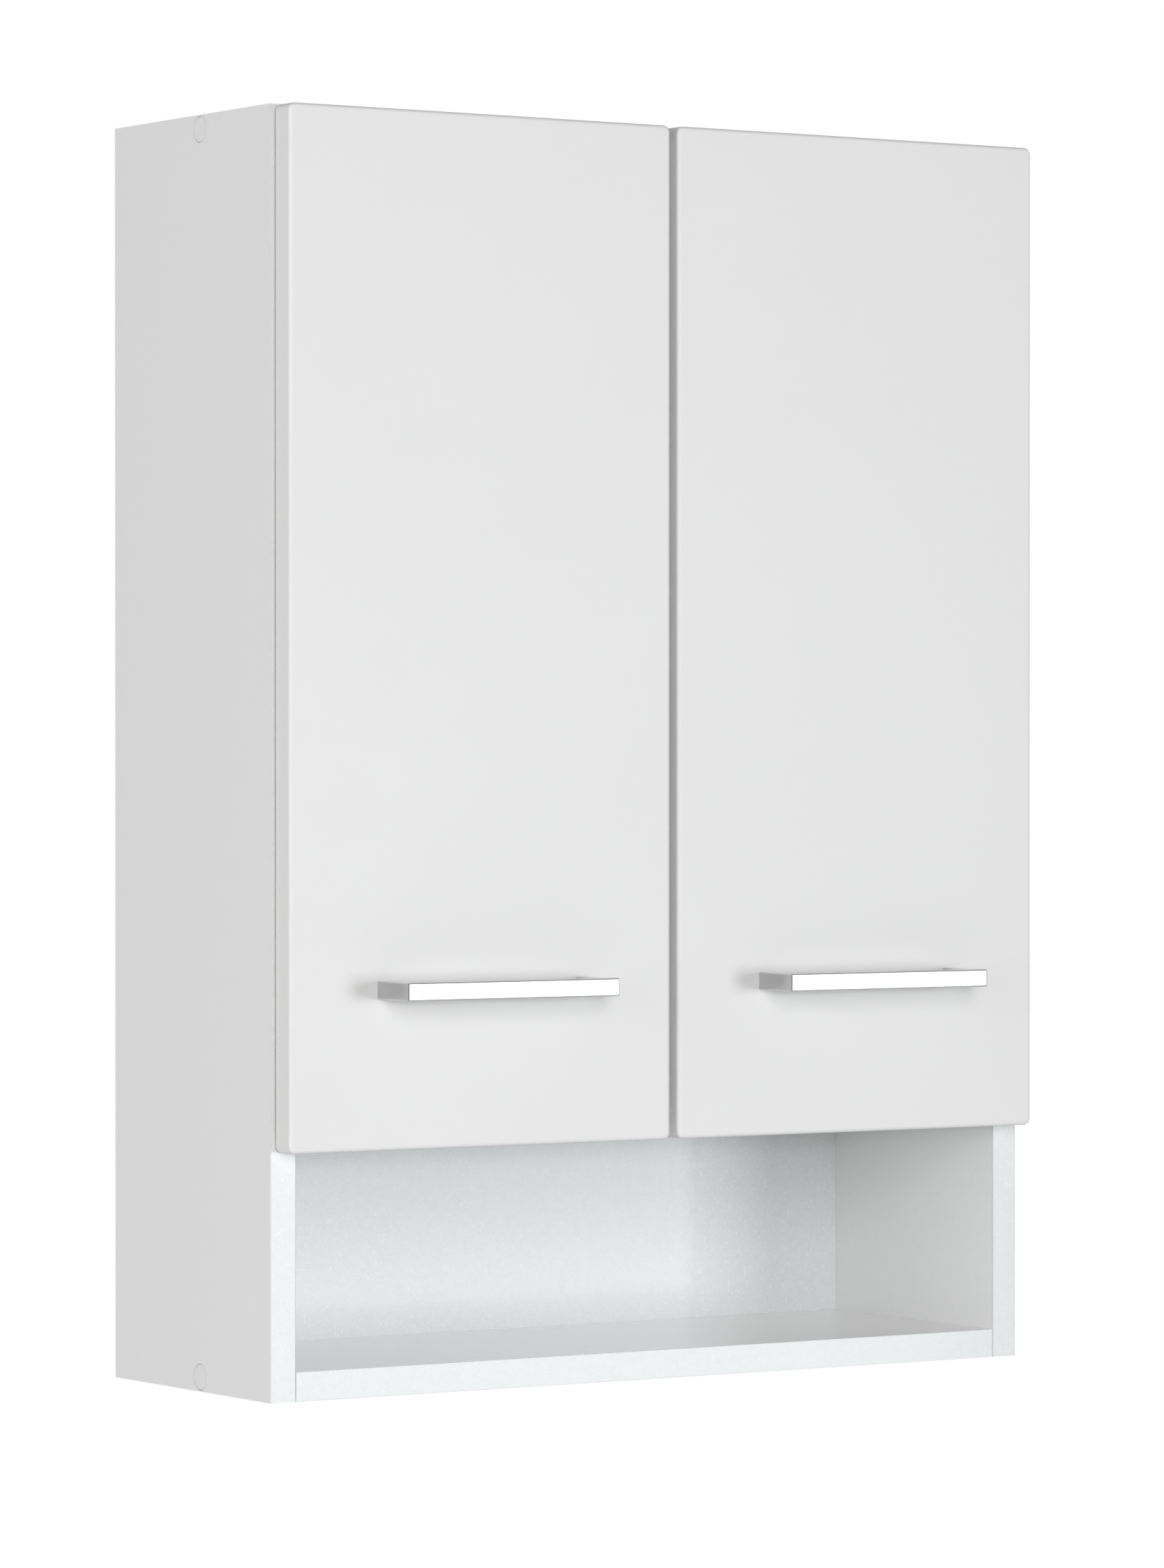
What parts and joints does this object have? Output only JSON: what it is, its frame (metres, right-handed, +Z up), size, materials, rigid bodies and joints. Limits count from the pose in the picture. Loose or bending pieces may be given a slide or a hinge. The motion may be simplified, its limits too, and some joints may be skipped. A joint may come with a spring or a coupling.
{
  "type": "hanging wall cabinet",
  "caption": "White wall cabinet with hinged doors over an open niche, loose shelves, bar handles, concealed cup hinges and hangers on wall plates.",
  "frame": {"origin": "on the wall, in the middle of the four screw holes of the two wall plates", "axes": "+X to the right seen from the front, +Y into the wall, +Z up"},
  "size_m": [0.5, 0.222, 0.7],
  "materials": {
    "carcass_board": "chipboard faced with white melamine, fine pearl texture",
    "door_board": "MDF wrapped in smooth white foil, satin gloss",
    "back_board": "hardboard with white lacquer",
    "chrome": "polished chrome plate on die-cast zinc",
    "nickel": "nickel-plated steel, satin",
    "zinc_steel": "zinc-plated steel",
    "beech": "plain beech",
    "white_plastic": "moulded white plastic",
    "clear_buffer": "soft clear polyurethane dots"
  },
  "bodies": {
    "carcass": {"left_side_panel": "carcass_board", "right_side_panel": "carcass_board", "top_panel": "carcass_board", "bottom_panel": "carcass_board", "fixed_shelf": "carcass_board", "lower_shelf": "carcass_board", "upper_shelf": "carcass_board", "back_panel": "back_board", "shelf_supports": "zinc_steel", "board_dowels": "beech", "board_screws": "zinc_steel", "cover_caps": "white_plastic", "cam_locks": "nickel", "cam_bolts": "zinc_steel", "left_hanger": "white_plastic", "right_hanger": "white_plastic", "left_hanger_cover": "white_plastic", "right_hanger_cover": "white_plastic", "left_hanger_hook": "zinc_steel", "right_hanger_hook": "zinc_steel", "hanger_screws": "zinc_steel", "left_wall_plate": "zinc_steel", "right_wall_plate": "zinc_steel", "lower_left_hinge_arm": "nickel", "upper_left_hinge_arm": "nickel", "lower_right_hinge_arm": "nickel", "upper_right_hinge_arm": "nickel", "lower_left_mounting_plate": "nickel", "upper_left_mounting_plate": "nickel", "lower_right_mounting_plate": "nickel", "upper_right_mounting_plate": "nickel", "mounting_plate_screws": "zinc_steel", "hinge_arm_screws": "zinc_steel"},
    "left_door": {"left_door": "door_board", "left_handle": "chrome", "left_handle_screws": "zinc_steel", "lower_left_hinge_cup": "nickel", "upper_left_hinge_cup": "nickel", "left_hinge_pins": "zinc_steel", "left_cup_screws": "zinc_steel", "left_door_buffers": "clear_buffer"},
    "right_door": {"right_door": "door_board", "right_handle": "chrome", "right_handle_screws": "zinc_steel", "lower_right_hinge_cup": "nickel", "upper_right_hinge_cup": "nickel", "right_hinge_pins": "zinc_steel", "right_cup_screws": "zinc_steel", "right_door_buffers": "clear_buffer"}
  },
  "joints": [
    {"name": "left_door_hinge", "type": "hinge", "parent": "carcass", "child": "left_door", "pos_m": [-0.2417, -0.1838, -0.382], "axis": [0, 0, -1], "range_deg": [0, 95]},
    {"name": "right_door_hinge", "type": "hinge", "parent": "carcass", "child": "right_door", "pos_m": [0.2417, -0.1838, -0.382], "axis": [0, 0, 1], "range_deg": [0, 95]}
  ]
}
